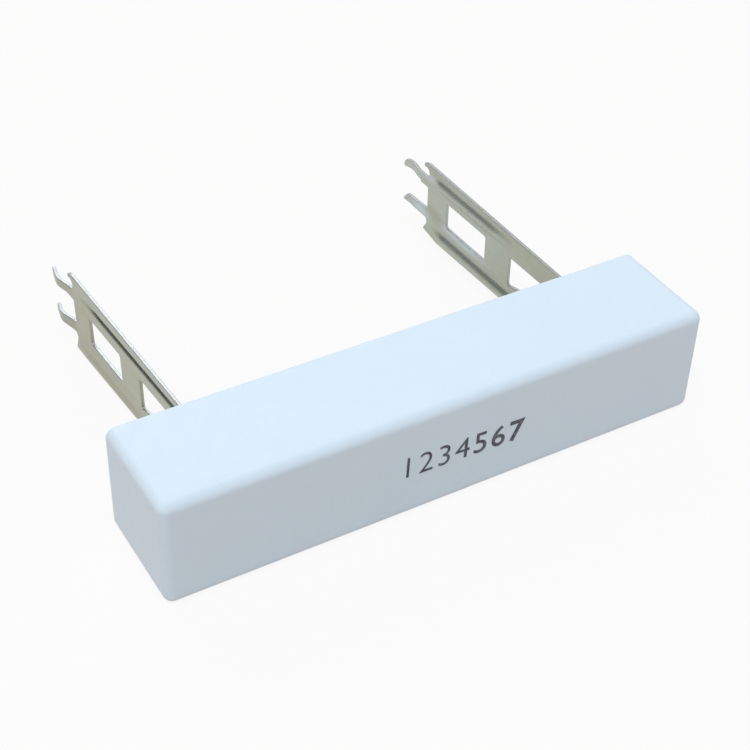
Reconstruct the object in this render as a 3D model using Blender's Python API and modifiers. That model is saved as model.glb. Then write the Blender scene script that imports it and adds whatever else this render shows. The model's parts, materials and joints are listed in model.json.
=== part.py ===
# Power resistor: a wound element cemented into a ceramic trough, with two stamped brackets.
# The body lies on its long side as it would rest. X runs along the body, the cement-filled
# side faces +Y and carries the brackets, and +Z is up. All sizes are in metres.
import math

import bmesh
import bpy
import numpy as np
from mathutils import Vector

# Clearance between neighbouring pieces
SEAT_GAP = 0.0003

# How far a cutter runs past the face that it opens, and what counts as one point
CUTTER_OVERRUN = 0.001
MERGE_DISTANCE = 0.000001

# Ceramic case, a trough with round outer edges and a square rim
CASE_LENGTH = 0.063
CASE_DEPTH = 0.0128
CASE_HEIGHT = 0.0129
CASE_EDGE_RADIUS = 0.00105
CASE_SIDE_WALL = 0.0015
CASE_END_WALL = 0.0018
CASE_FLOOR = 0.0016
POCKET_EDGE_RADIUS = 0.0006

# Cement, poured a little below the rim
CEMENT_RECESS = 0.0004

# Wound element, lying along X in the cement
ELEMENT_COVER = 0.00135
CORE_CHAMFER = 0.0003
WIRE_RADIUS = 0.0002
WIRE_PITCH = 0.0015
CAP_WALL = 0.0004
CAP_LENGTH = 0.0045
CAP_CORNER_RADIUS = 0.0005

# Bracket strip: u runs out of the body from the rim, v runs across the strip
STRIP_THICKNESS = 0.0004
STRIP_MARGIN = 0.00035
STRIP_SPREAD = 0.0012
STRIP_CORNER_RADIUS = 0.0003
SHOULDER_WIDTH = 0.0015
TONGUE_SHORT = 0.0004

# How each bracket stands: from the end of the case, above the middle, and its three turns
LEFT_INSET = 0.0085
LEFT_RISE = 0.0002
LEFT_LEAN = math.radians(1.9)
LEFT_TIP = math.radians(-2.2)
LEFT_TWIST = math.radians(-0.1)
RIGHT_INSET = 0.0077
RIGHT_RISE = -0.0002
RIGHT_LEAN = math.radians(2.5)
RIGHT_TIP = math.radians(0.7)
RIGHT_TWIST = math.radians(-1.1)

# Stiffening ribs, pressed towards the middle of the body, each to its own depth; the right
# bracket's upper one starts beyond the inner window
RIB_START = 0.0010
RIB_START_FADE = 0.0016
RIB_SHORT_OF_FORK = 0.0014
LEFT_RIB_INSET = 0.0011
LEFT_RIB_END_FADE = 0.0035
LEFT_UPPER_RIB_WIDTH = 0.0014
LEFT_UPPER_RIB_HEIGHT = 0.00045
LEFT_LOWER_RIB_WIDTH = 0.0018
LEFT_LOWER_RIB_HEIGHT = 0.0001
RIGHT_RIB_INSET = 0.0009
RIGHT_RIB_END_FADE = 0.0016
RIGHT_UPPER_RIB_START = 0.0095
RIGHT_UPPER_RIB_START_FADE = 0.0055
RIGHT_UPPER_RIB_WIDTH = 0.0021
RIGHT_UPPER_RIB_HEIGHT = 0.00035
RIGHT_LOWER_RIB_WIDTH = 0.0022
RIGHT_LOWER_RIB_HEIGHT = 0.00042

# Fork at the end of the strip; the heel, tab and prongs reach beyond its edge
FORK_REACH = 0.0279
HEEL_LENGTH = 0.0008
HEEL_SLOPE_LENGTH = 0.0030
LEFT_HEEL_RISE = 0.0001
RIGHT_HEEL_RISE = 0.0006
TAB_LENGTH = 0.0009
TAB_WIDTH = 0.0007
TAB_TIP_WIDTH = 0.0004
TAB_SLOPE_LENGTH = 0.0009
NOTCH_DEPTH = 0.0002
NOTCH_FILLET_SHARE = 0.47
LEFT_PRONG_LENGTH = 0.0056
RIGHT_PRONG_LENGTH = 0.0054
PRONG_WIDTH = 0.0011
UPPER_PRONG_OFFSET = 0.00265
LEFT_UPPER_TIP_RADIUS = 0.0003
RIGHT_UPPER_TIP_RADIUS = 0.0008
PRONG_STEP = 0.0003
PRONG_STEP_LENGTH = 0.0016
LOWER_PRONG_OFFSET = 0.0022
LEFT_LOWER_TIP_SLOPE = 0.0002
RIGHT_LOWER_TIP_SLOPE = 0.0009
PRONG_ROOT_FLARE = 0.00035

# Windows in the strip, with a bridge between them
WINDOW_WIDTH = 0.0035
WINDOW_CORNER_RADIUS = 0.0003
WINDOW_TO_FORK = 0.00405
OUTER_WINDOW_LENGTH = 0.008
WINDOW_BRIDGE = 0.0047
INNER_WINDOW_START = 0.0030
INNER_WINDOW_FLARE = 0.0005
INNER_WINDOW_FLARE_LENGTH = 0.0020

# Outward kink of the prongs, whose tips come back in line with the strip: its start and crest
# beyond the fork, and how far each bend reaches both ways; one prong is nearly straight
KINK_BEND_REACH = 0.0006
LEFT_KINK_START = 0.0007
LEFT_KINK_CREST = 0.0032
LEFT_KINK_HEIGHT = 0.00056
RIGHT_KINK_START = 0.0022
RIGHT_KINK_CREST = 0.0038
RIGHT_UPPER_KINK_HEIGHT = 0.0004
RIGHT_LOWER_KINK_HEIGHT = 0.0001

ROUND_STEPS = 32
WIRE_STEPS = 12
ARC_STEPS = 4
RIB_STEPS = 8
FADE_STEPS = 3
BEND_STEPS = 4

# A bracket's side is the sign of the direction towards the middle of the body
LEFT = 1
RIGHT = -1


def collection_named(name):
    collection = bpy.data.collections.new(name)
    bpy.context.scene.collection.children.link(collection)
    return collection


def finish(name, colour, roughness, metallic=0.0):
    material = bpy.data.materials.new(name)
    material.use_nodes = True
    shader = material.node_tree.nodes["Principled BSDF"]
    shader.inputs["Base Color"].default_value = (*colour, 1.0)
    shader.inputs["Roughness"].default_value = roughness
    shader.inputs["Metallic"].default_value = metallic
    return material


def add_piece(name, data, collection, material=None):
    piece = bpy.data.objects.new(name, data)
    collection.objects.link(piece)
    if material:
        data.materials.append(material)
    return piece


def add_cutter(name, data, collection):
    cutter = add_piece(name, data, collection)
    cutter.hide_render = True
    cutter.display_type = "WIRE"
    return cutter


def box_mesh(name, low, high):
    mesh = bpy.data.meshes.new(name)
    cage = bmesh.new()
    bmesh.ops.create_cube(cage, size=1.0)
    low = Vector(low)
    high = Vector(high)
    for corner in cage.verts:
        share = corner.co + Vector((0.5, 0.5, 0.5))
        corner.co = low + share * (high - low)
    cage.to_mesh(mesh)
    cage.free()
    return mesh


def round_edges(piece, radius, steps, left_square=None):
    # left_square tells, for the middle of an edge, whether that edge stays sharp
    mesh = piece.data
    weights = mesh.attributes.new("bevel_weight_edge", "FLOAT", "EDGE")
    for edge in mesh.edges:
        ends = [mesh.vertices[index].co for index in edge.vertices]
        stays = left_square is not None and left_square(ends[0], ends[1])
        weights.data[edge.index].value = 0.0 if stays else 1.0
    bevel = piece.modifiers.new("rounded_edges", "BEVEL")
    bevel.limit_method = "WEIGHT"
    bevel.width = radius
    bevel.segments = steps


def combine(piece, other, operation):
    boolean = piece.modifiers.new(f"{operation.lower()}_{other.name}", "BOOLEAN")
    boolean.operation = operation
    boolean.solver = "EXACT"
    boolean.object = other


def shade_round(mesh, limit=math.radians(35)):
    mesh.shade_smooth()
    mesh.set_sharp_from_angle(angle=limit)


def rounded_path(corners, closed):
    # corners holds (x, y, radius); each corner becomes an arc tangent to both of its sides
    points = []
    count = len(corners)
    for index, (x, y, radius) in enumerate(corners):
        corner = Vector((x, y))
        at_end = not closed and index in (0, count - 1)
        if at_end or radius == 0:
            points.append(corner)
            continue
        back = (Vector(corners[index - 1][:2]) - corner).normalized()
        ahead = (Vector(corners[(index + 1) % count][:2]) - corner).normalized()
        half_angle = back.angle(ahead) / 2
        setback = radius / math.tan(half_angle)
        middle = corner + (back + ahead).normalized() * radius / math.sin(half_angle)
        start = corner + back * setback - middle
        turn = start.angle_signed(corner + ahead * setback - middle)
        for step in range(ARC_STEPS + 1):
            angle = -turn * step / ARC_STEPS
            swung = Vector((
                start.x * math.cos(angle) - start.y * math.sin(angle),
                start.x * math.sin(angle) + start.y * math.cos(angle),
            ))
            points.append(middle + swung)
    return points


def turned_piece(name, profile, collection, material=None):
    # profile holds (radius, height) and runs down the outer side; the axis is then laid along X
    mesh = bpy.data.meshes.new(name)
    lathe = bmesh.new()
    verts = [lathe.verts.new((radius, 0.0, height)) for radius, height in profile]
    for first, second in zip(verts, verts[1:]):
        lathe.edges.new((first, second))
    lathe.to_mesh(mesh)
    lathe.free()
    piece = add_piece(name, mesh, collection, material)
    screw = piece.modifiers.new("turned", "SCREW")
    screw.steps = ROUND_STEPS
    screw.render_steps = ROUND_STEPS
    screw.use_merge_vertices = True
    screw.merge_threshold = MERGE_DISTANCE
    screw.use_smooth_shade = False
    piece.rotation_euler = (0.0, math.pi / 2, 0.0)
    return piece


def pocket_height():
    return CASE_HEIGHT - 2 * CASE_SIDE_WALL


def strip_half_width(u):
    at_body = pocket_height() / 2 - STRIP_MARGIN
    return at_body + STRIP_SPREAD / 2 * u / FORK_REACH


def tongue_width():
    return 2 * (strip_half_width(0) - SHOULDER_WIDTH)


def cap_outer_radius():
    free_depth = CASE_DEPTH - CASE_FLOOR - CEMENT_RECESS
    return min(pocket_height(), free_depth) / 2 - ELEMENT_COVER


def core_radius():
    return cap_outer_radius() - CAP_WALL - SEAT_GAP


def wire_orbit():
    return core_radius() + SEAT_GAP + WIRE_RADIUS


def element_axis():
    # y and z of the wound element's axis
    return CASE_FLOOR + ELEMENT_COVER + cap_outer_radius() - CASE_DEPTH / 2, CASE_HEIGHT / 2


def element_depth():
    return CASE_DEPTH / 2 - element_axis()[0]


def tongue_depth():
    return element_depth() + cap_outer_radius() - TONGUE_SHORT


def bracket_place(side):
    # middle of the strip's thickness where it crosses the plane of the rim, and its turns
    if side == LEFT:
        inset, rise = LEFT_INSET, LEFT_RISE
        turns = (LEFT_TIP, LEFT_TWIST, LEFT_LEAN)
    else:
        inset, rise = RIGHT_INSET, RIGHT_RISE
        turns = (RIGHT_TIP, RIGHT_TWIST, RIGHT_LEAN)
    x = -side * (CASE_LENGTH / 2 - inset - STRIP_THICKNESS / 2)
    return Vector((x, CASE_DEPTH / 2, CASE_HEIGHT / 2 + rise)), turns


def cap_face(side):
    # the cap's closed end sits against the tongue, clear of it over the cap's whole face
    place, (tip, twist, lean) = bracket_place(side)
    strip_middle = place.x + math.tan(lean) * element_depth()
    tilt = math.tan(abs(lean)) + math.tan(abs(twist))
    reach = STRIP_THICKNESS / 2 / math.cos(lean) + cap_outer_radius() * tilt
    return strip_middle + side * (reach + SEAT_GAP)


def make_case(collection, cutters, material):
    low = (-CASE_LENGTH / 2, -CASE_DEPTH / 2, 0.0)
    high = (CASE_LENGTH / 2, CASE_DEPTH / 2, CASE_HEIGHT)
    case = add_piece("ceramic_case", box_mesh("ceramic_case", low, high), collection, material)
    rim = CASE_DEPTH / 2 - CASE_EDGE_RADIUS
    round_edges(case, CASE_EDGE_RADIUS, ARC_STEPS + 1, lambda a, b: min(a.y, b.y) > rim)
    shade_round(case.data)

    low = (
        -CASE_LENGTH / 2 + CASE_END_WALL,
        -CASE_DEPTH / 2 + CASE_FLOOR,
        CASE_SIDE_WALL,
    )
    high = (
        CASE_LENGTH / 2 - CASE_END_WALL,
        CASE_DEPTH / 2 + CUTTER_OVERRUN,
        CASE_HEIGHT - CASE_SIDE_WALL,
    )
    pocket = add_cutter("case_pocket", box_mesh("case_pocket", low, high), cutters)
    round_edges(pocket, POCKET_EDGE_RADIUS, ARC_STEPS - 1)
    combine(case, pocket, "DIFFERENCE")
    return case


def make_cement(collection, cutters, material):
    low = (
        -CASE_LENGTH / 2 + CASE_END_WALL + SEAT_GAP,
        -CASE_DEPTH / 2 + CASE_FLOOR + SEAT_GAP,
        CASE_SIDE_WALL + SEAT_GAP,
    )
    high = (
        CASE_LENGTH / 2 - CASE_END_WALL - SEAT_GAP,
        CASE_DEPTH / 2 - CEMENT_RECESS,
        CASE_HEIGHT - CASE_SIDE_WALL - SEAT_GAP,
    )
    cement = add_piece("cement_fill", box_mesh("cement_fill", low, high), collection, material)
    surface = high[1] - POCKET_EDGE_RADIUS
    round_edges(cement, POCKET_EDGE_RADIUS, ARC_STEPS - 1, lambda a, b: min(a.y, b.y) > surface)

    radius = max(cap_outer_radius(), wire_orbit() + WIRE_RADIUS) + SEAT_GAP
    start = cap_face(LEFT) - SEAT_GAP
    end = cap_face(RIGHT) + SEAT_GAP
    half = (end - start) / 2
    profile = [(0.0, half), (radius, half), (radius, -half), (0.0, -half)]
    bed = turned_piece("element_bed", profile, cutters)
    bed.hide_render = True
    bed.display_type = "WIRE"
    bed.location = ((start + end) / 2, *element_axis())
    combine(cement, bed, "DIFFERENCE")
    for side, name in ((LEFT, "left_slot"), (RIGHT, "right_slot")):
        combine(cement, make_slot(name, side, cutters), "DIFFERENCE")
    return cement


def make_slot(name, side, cutters):
    half_thickness = STRIP_THICKNESS / 2 + SEAT_GAP
    half_width = tongue_width() / 2 + SEAT_GAP
    low = (-half_thickness, -tongue_depth() - SEAT_GAP, -half_width)
    high = (half_thickness, CUTTER_OVERRUN, half_width)
    slot = add_cutter(name, box_mesh(name, low, high), cutters)
    slot.location, slot.rotation_euler = bracket_place(side)
    return slot


def core_span():
    start = cap_face(LEFT) + CAP_WALL + SEAT_GAP
    end = cap_face(RIGHT) - CAP_WALL - SEAT_GAP
    return start, end


def make_core(collection, material):
    start, end = core_span()
    half = (end - start) / 2
    radius = core_radius()
    profile = [
        (0.0, half),
        (radius - CORE_CHAMFER, half),
        (radius, half - CORE_CHAMFER),
        (radius, CORE_CHAMFER - half),
        (radius - CORE_CHAMFER, -half),
        (0.0, -half),
    ]
    core = turned_piece("ceramic_core", profile, collection, material)
    core.location = ((start + end) / 2, *element_axis())
    return core


def make_cap(name, side, collection, material):
    # drawn cup, its mouth over the end of the core
    outer = cap_outer_radius()
    inner = outer - CAP_WALL
    inner_corner = max(CAP_CORNER_RADIUS - CAP_WALL, CAP_CORNER_RADIUS / 4)
    outline = [
        (0.0, 0.0, 0.0),
        (outer, 0.0, CAP_CORNER_RADIUS),
        (outer, -CAP_LENGTH, 0.0),
        (inner, -CAP_LENGTH, 0.0),
        (inner, -CAP_WALL, inner_corner),
        (0.0, -CAP_WALL, 0.0),
    ]
    profile = [(point.x, point.y) for point in rounded_path(outline, closed=False)]
    cap = turned_piece(name, profile, collection, material)
    cap.location = (cap_face(side), *element_axis())
    cap.rotation_euler = (0.0, -side * math.pi / 2, 0.0)
    return cap


def make_wire(collection, material):
    # close winding between the mouths of the two caps
    margin = CAP_LENGTH + SEAT_GAP + WIRE_RADIUS
    start = cap_face(LEFT) + margin
    length = cap_face(RIGHT) - margin - start
    turns = int(length / WIRE_PITCH)
    count = turns * WIRE_STEPS
    y, z = element_axis()
    curve = bpy.data.curves.new("resistance_wire", "CURVE")
    curve.dimensions = "3D"
    curve.bevel_depth = WIRE_RADIUS
    curve.bevel_resolution = 2
    curve.use_fill_caps = True
    spline = curve.splines.new("POLY")
    spline.points.add(count)
    for index, point in enumerate(spline.points):
        angle = 2 * math.pi * index / WIRE_STEPS
        x = start + length * index / count
        across = wire_orbit() * math.cos(angle)
        up = wire_orbit() * math.sin(angle)
        point.co = (x, y + across, z + up, 1.0)
    return add_piece("resistance_wire", curve, collection, material)


def prong_length(side):
    return LEFT_PRONG_LENGTH if side == LEFT else RIGHT_PRONG_LENGTH


def strip_outline(side):
    # the tongue, then the lower edge, the heel, the two prongs, the notch and the tab
    tongue = tongue_width() / 2
    shoulder = SEAT_GAP
    corner = STRIP_CORNER_RADIUS
    edge = strip_half_width(FORK_REACH)
    heel_end = FORK_REACH + HEEL_LENGTH
    heel_start = heel_end - HEEL_SLOPE_LENGTH
    heel_rise = LEFT_HEEL_RISE if side == LEFT else RIGHT_HEEL_RISE
    tip_radius = LEFT_UPPER_TIP_RADIUS if side == LEFT else RIGHT_UPPER_TIP_RADIUS
    tip_slope = LEFT_LOWER_TIP_SLOPE if side == LEFT else RIGHT_LOWER_TIP_SLOPE
    prong = PRONG_WIDTH / 2
    tip = FORK_REACH + prong_length(side)
    low = -LOWER_PRONG_OFFSET
    up = UPPER_PRONG_OFFSET
    step_end = FORK_REACH + PRONG_STEP_LENGTH
    notch = FORK_REACH - NOTCH_DEPTH
    tab_end = FORK_REACH + TAB_LENGTH
    tab_low = edge - TAB_WIDTH
    notch_radius = NOTCH_FILLET_SHARE * (tab_low - up - prong)
    return [
        (-tongue_depth(), -tongue, corner),
        (shoulder, -tongue, 0.0),
        (shoulder, -strip_half_width(shoulder), corner),
        (heel_start, -strip_half_width(heel_start), corner),
        (heel_end, heel_rise - edge, corner / 2),
        (FORK_REACH, low - 2 * prong, corner),
        (FORK_REACH + corner, low - prong, corner),
        (tip, low - prong, corner / 2),
        (tip - tip_slope, low + prong, corner),
        (FORK_REACH, low + prong + PRONG_ROOT_FLARE, corner),
        (FORK_REACH, up - prong - PRONG_STEP, corner / 2),
        (step_end, up - prong - PRONG_STEP, 0.0),
        (step_end, up - prong, 0.0),
        (tip, up - prong, corner / 2),
        (tip, up + prong, tip_radius),
        (notch, up + prong, notch_radius),
        (notch, tab_low, notch_radius),
        (tab_end, tab_low, 0.0),
        (tab_end, tab_low + TAB_TIP_WIDTH, 0.0),
        (tab_end - TAB_SLOPE_LENGTH, edge, corner),
        (shoulder, strip_half_width(shoulder), corner),
        (shoulder, tongue, 0.0),
        (-tongue_depth(), tongue, corner),
    ]


def window_ends():
    # where the outer window starts and ends, and where the inner one ends
    end = FORK_REACH - WINDOW_TO_FORK
    start = end - OUTER_WINDOW_LENGTH
    return start, end, start - WINDOW_BRIDGE


def outer_window():
    start, end, _ = window_ends()
    half = WINDOW_WIDTH / 2
    radius = WINDOW_CORNER_RADIUS
    return [
        (start, -half, radius),
        (end, -half, radius),
        (end, half, radius),
        (start, half, radius),
    ]


def inner_window():
    # its lower corner next to the bridge dips
    end = window_ends()[2]
    half = WINDOW_WIDTH / 2
    radius = WINDOW_CORNER_RADIUS
    return [
        (INNER_WINDOW_START, -half, radius),
        (end - INNER_WINDOW_FLARE_LENGTH, -half, 0.0),
        (end, -half - INNER_WINDOW_FLARE, radius),
        (end, half, radius),
        (INNER_WINDOW_START, half, radius),
    ]


def outline_punch(name, side, cutters):
    # the strip's outline with its windows, as a thick plate that the pressed sheet is cut by
    deepest_rib = max(height for _, height, *_ in ribs(side))
    depth = deepest_rib + kink(side, UPPER_PRONG_OFFSET)[2] + STRIP_THICKNESS
    curve = bpy.data.curves.new(name, "CURVE")
    curve.dimensions = "2D"
    curve.fill_mode = "BOTH"
    curve.extrude = depth
    for shape in (strip_outline(side), outer_window(), inner_window()):
        points = rounded_path(shape, closed=True)
        spline = curve.splines.new("POLY")
        spline.points.add(len(points) - 1)
        spline.use_cyclic_u = True
        for point, place in zip(spline.points, points):
            point.co = (place.x, place.y, 0.0, 1.0)
    outline = bpy.data.objects.new(name, curve)
    cutters.objects.link(outline)
    bpy.context.view_layer.update()
    graph = bpy.context.evaluated_depsgraph_get()
    mesh = bpy.data.meshes.new_from_object(outline.evaluated_get(graph))
    bpy.data.objects.remove(outline)
    plate = bmesh.new()
    plate.from_mesh(mesh)
    bmesh.ops.remove_doubles(plate, verts=plate.verts, dist=MERGE_DISTANCE)
    for vert in plate.verts:
        vert.co = Vector((vert.co.z, vert.co.x, vert.co.y))
    bmesh.ops.recalc_face_normals(plate, faces=plate.faces)
    plate.to_mesh(mesh)
    plate.free()
    return mesh


def smooth_step(value):
    value = min(max(value, 0.0), 1.0)
    return value * value * (3 - 2 * value)


def rib_offset(side):
    return strip_half_width(0) - (LEFT_RIB_INSET if side == LEFT else RIGHT_RIB_INSET)


def rib_end():
    return FORK_REACH - RIB_SHORT_OF_FORK


def ribs(side):
    # the upper and the lower one: width, height, start, and how far each rises and fades
    if side == LEFT:
        along = (RIB_START, RIB_START_FADE, LEFT_RIB_END_FADE)
        return (
            (LEFT_UPPER_RIB_WIDTH, LEFT_UPPER_RIB_HEIGHT, *along),
            (LEFT_LOWER_RIB_WIDTH, LEFT_LOWER_RIB_HEIGHT, *along),
        )
    late = (RIGHT_UPPER_RIB_START, RIGHT_UPPER_RIB_START_FADE, RIGHT_RIB_END_FADE)
    along = (RIB_START, RIB_START_FADE, RIGHT_RIB_END_FADE)
    return (
        (RIGHT_UPPER_RIB_WIDTH, RIGHT_UPPER_RIB_HEIGHT, *late),
        (RIGHT_LOWER_RIB_WIDTH, RIGHT_LOWER_RIB_HEIGHT, *along),
    )


def rib_lift(side, u, v):
    upper, lower = ribs(side)
    width, height, start, rise, fade = upper if v > 0 else lower
    across = abs(abs(v) - rib_offset(side))
    if across >= width / 2:
        return 0.0
    crown = (1 + math.cos(2 * math.pi * across / width)) / 2
    along = smooth_step((u - start) / rise) * smooth_step((rib_end() - u) / fade)
    return height * crown * along


def kink(side, v):
    # start and crest beyond the fork, and height, of the prong on that half of the strip
    if side == LEFT:
        return LEFT_KINK_START, LEFT_KINK_CREST, LEFT_KINK_HEIGHT
    height = RIGHT_UPPER_KINK_HEIGHT if v > 0 else RIGHT_LOWER_KINK_HEIGHT
    return RIGHT_KINK_START, RIGHT_KINK_CREST, height


def soft_bend(distance):
    # the way gained at this distance beyond a bend that turns a level line to a slope of 1
    if distance <= -KINK_BEND_REACH:
        return 0.0
    if distance >= KINK_BEND_REACH:
        return distance
    return (distance + KINK_BEND_REACH) ** 2 / (4 * KINK_BEND_REACH)


def kink_lift(side, u, v):
    start, crest, height = kink(side, v)
    rise = height / (crest - start)
    fall = height / (prong_length(side) - crest)
    beyond = u - FORK_REACH
    return rise * soft_bend(beyond - start) - (rise + fall) * soft_bend(beyond - crest)


def strip_rows(side):
    # places along the strip where the sheet's height is worked out, past the tongue and the tips
    overrun = STRIP_THICKNESS
    rows = {-tongue_depth() - overrun, FORK_REACH + prong_length(side) + overrun}
    for _, _, start, rise, fade in ribs(side):
        rows.update(np.linspace(start, start + rise, FADE_STEPS + 1))
        rows.update(np.linspace(rib_end() - fade, rib_end(), FADE_STEPS + 1))
    for bend in kink(side, UPPER_PRONG_OFFSET)[:2]:
        middle = FORK_REACH + bend
        rows.update(np.linspace(middle - KINK_BEND_REACH, middle + KINK_BEND_REACH, BEND_STEPS + 1))
    return sorted(rows)


def strip_columns(side):
    # places across the strip where the sheet's height is worked out; the middle two lie in the
    # gap between the prongs, where the sheet goes over from one kink to the other
    limit = strip_half_width(FORK_REACH) + STRIP_THICKNESS
    halves = []
    for width, *_ in ribs(side):
        near = rib_offset(side) - width / 2
        far = rib_offset(side) + width / 2
        rib = np.linspace(near, far, RIB_STEPS + 1)
        halves.append([LOWER_PRONG_OFFSET / 4, *rib, max(limit, far + STRIP_THICKNESS)])
    upper, lower = halves
    return [-v for v in reversed(lower)] + upper


def make_bracket(name, side, collection, cutters, material):
    # a flat grid is pressed to its ribs and kinks, thickened and cut to its outline
    rows = strip_rows(side)
    columns = strip_columns(side)
    mesh = bpy.data.meshes.new(name)
    sheet = bmesh.new()
    last_row = len(rows) - 1
    last_column = len(columns) - 1
    bmesh.ops.create_grid(sheet, x_segments=last_row, y_segments=last_column, size=0.5)
    for vert in sheet.verts:
        # the grid runs from minus a half to a half
        u = rows[round((vert.co.x + 0.5) * last_row)]
        v = columns[round((vert.co.y + 0.5) * last_column)]
        inward = rib_lift(side, u, v) - kink_lift(side, u, v)
        vert.co = Vector((side * inward, u, v))
    if side == RIGHT:
        bmesh.ops.reverse_faces(sheet, faces=sheet.faces)
    sheet.to_mesh(mesh)
    sheet.free()
    bracket = add_piece(name, mesh, collection, material)
    bracket.location, bracket.rotation_euler = bracket_place(side)
    shade_round(mesh)

    wall = bracket.modifiers.new("strip_thickness", "SOLIDIFY")
    wall.thickness = STRIP_THICKNESS
    wall.offset = 0.0
    punch = add_cutter(f"{name}_punch", outline_punch(f"{name}_punch", side, cutters), cutters)
    punch.location, punch.rotation_euler = bracket_place(side)
    combine(bracket, punch, "INTERSECT")
    return bracket


def main():
    for old in list(bpy.data.objects):
        bpy.data.objects.remove(old)
    parts = collection_named("cement_resistor")
    cutters = collection_named("cutters")

    ceramic = finish("white_ceramic", (0.80, 0.86, 0.90), 0.42)
    cement = finish("pale_cement", (0.72, 0.72, 0.69), 0.85)
    alumina = finish("core_ceramic", (0.82, 0.80, 0.75), 0.60)
    steel = finish("tinned_steel", (0.52, 0.53, 0.49), 0.34, 1.0)
    cup_steel = finish("cap_steel", (0.60, 0.60, 0.60), 0.30, 1.0)
    alloy = finish("resistance_alloy", (0.46, 0.43, 0.39), 0.38, 1.0)

    make_case(parts, cutters, ceramic)
    make_cement(parts, cutters, cement)
    make_core(parts, alumina)
    make_wire(parts, alloy)
    make_cap("end_cap_left", LEFT, parts, cup_steel)
    make_cap("end_cap_right", RIGHT, parts, cup_steel)
    make_bracket("bracket_left", LEFT, parts, cutters, steel)
    make_bracket("bracket_right", RIGHT, parts, cutters, steel)


main()
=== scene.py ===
# Cement resistor: the finished look of the ceramic case, the cement, the two stamped brackets
# and the stamped digits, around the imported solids. All sizes are in metres.
import json
import math

import bmesh
import bpy
from mathutils import Euler, Matrix, Vector


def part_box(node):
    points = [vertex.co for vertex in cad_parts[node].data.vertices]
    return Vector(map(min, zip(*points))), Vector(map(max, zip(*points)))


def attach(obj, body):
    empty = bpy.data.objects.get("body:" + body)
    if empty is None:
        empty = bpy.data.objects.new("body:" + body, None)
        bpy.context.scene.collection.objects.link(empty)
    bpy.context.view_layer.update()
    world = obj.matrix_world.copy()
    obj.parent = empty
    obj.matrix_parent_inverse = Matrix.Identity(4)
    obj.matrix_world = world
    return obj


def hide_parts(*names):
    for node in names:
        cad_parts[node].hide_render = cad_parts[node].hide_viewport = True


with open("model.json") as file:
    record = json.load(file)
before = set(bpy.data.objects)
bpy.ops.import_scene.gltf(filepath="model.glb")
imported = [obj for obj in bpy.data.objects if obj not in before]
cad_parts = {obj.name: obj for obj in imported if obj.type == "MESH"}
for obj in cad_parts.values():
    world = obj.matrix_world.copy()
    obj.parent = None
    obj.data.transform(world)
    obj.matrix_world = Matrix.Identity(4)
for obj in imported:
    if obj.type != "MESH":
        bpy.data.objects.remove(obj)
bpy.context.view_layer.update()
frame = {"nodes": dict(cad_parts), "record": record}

hair = 0.000001  # two places closer than this are one
sharpTurn = 0.5  # faces that turn by more than this, in radians, meet at a sharp edge


# Modelling helpers


def editing(on):
    bpy.ops.object.mode_set(mode="EDIT" if on else "OBJECT")


def letGo():
    bpy.ops.object.select_all(action="DESELECT")


def takeInHand(piece):
    letGo()
    piece.select_set(True)
    bpy.context.view_layer.objects.active = piece


def pickAll():
    bpy.ops.mesh.select_all(action="SELECT")


def pick(kind, test):
    # picks the vertices, edges or faces of the piece in hand that pass the test
    bpy.ops.mesh.select_mode(type=kind)
    bpy.ops.mesh.select_all(action="DESELECT")
    mesh = bpy.context.edit_object.data
    shape = bmesh.from_edit_mesh(mesh)
    groups = {"VERT": shape.verts, "EDGE": shape.edges, "FACE": shape.faces}
    for item in groups[kind]:
        if test(item):
            item.select_set(True)
    shape.select_flush_mode()
    bmesh.update_edit_mesh(mesh)


def settle():
    # the place, turn and scale of the piece in hand go into its mesh
    bpy.ops.object.transform_apply(location=True, rotation=True, scale=True)


def shapeWith(piece, kind, **settings):
    # one modifier with these settings, applied at once
    takeInHand(piece)
    bpy.ops.object.modifier_add(type=kind)
    modifier = piece.modifiers[-1]
    for name, setting in settings.items():
        setattr(modifier, name, setting)
    bpy.ops.object.modifier_apply(modifier=modifier.name)


def addBlock(name, low, high):
    # a cube primitive at its size and place, left in edit mode
    letGo()
    middle = (low + high) / 2
    bpy.ops.mesh.primitive_cube_add(size=1, location=middle, scale=high - low)
    block = bpy.context.active_object
    block.name = name
    block.data.name = name
    settle()
    editing(True)
    return block


def lowestY(edge):
    return min(vert.co.y for vert in edge.verts)


def isSharp(edge):
    return edge.calc_face_angle(0) > sharpTurn


def roundEdges(test, radius, steps):
    pick("EDGE", test)
    bpy.ops.mesh.bevel(offset=radius, segments=steps, affect="EDGES", clamp_overlap=False)


def drag(shift, falloff, reach):
    # moves what is picked, and takes along what lies within reach of it
    bpy.ops.transform.translate(
        value=shift, use_proportional_edit=True, proportional_edit_falloff=falloff, proportional_size=reach
    )


def cutWith(piece, cutter):
    shapeWith(piece, "BOOLEAN", operation="DIFFERENCE", solver="EXACT", object=cutter)
    bpy.data.objects.remove(cutter)


def sliceAt(places, axis, test=None):
    # cuts edges across the piece at each place along one axis, or only across the faces that pass
    for place in places:
        if test:
            pick("FACE", test)
        else:
            pickAll()
        bpy.ops.mesh.bisect(plane_co=Vector(axis) * place, plane_no=axis, threshold=hair / 10)


def evenly(start, end, count):
    return [start + (end - start) * index / count for index in range(count + 1)]


def between(start, end, count):
    # the same places without the two ends
    return evenly(start, end, count)[1:-1]


def roughen(piece, name, kind, size, depth, **settings):
    # an uneven skin that only sinks in, so that nothing stands out of the solids
    grain = bpy.data.textures.new(name, kind)
    grain.noise_scale = size
    shapeWith(piece, "DISPLACE", texture=grain, mid_level=1.0, strength=depth, **settings)


def finishShading(piece, angle):
    # smooth over the rounded edges, true over the flats, with the angle in degrees
    takeInHand(piece)
    bpy.ops.object.shade_smooth_by_angle(angle=math.radians(angle))
    shapeWith(piece, "WEIGHTED_NORMAL", keep_sharp=True)


# Ceramic case

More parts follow.
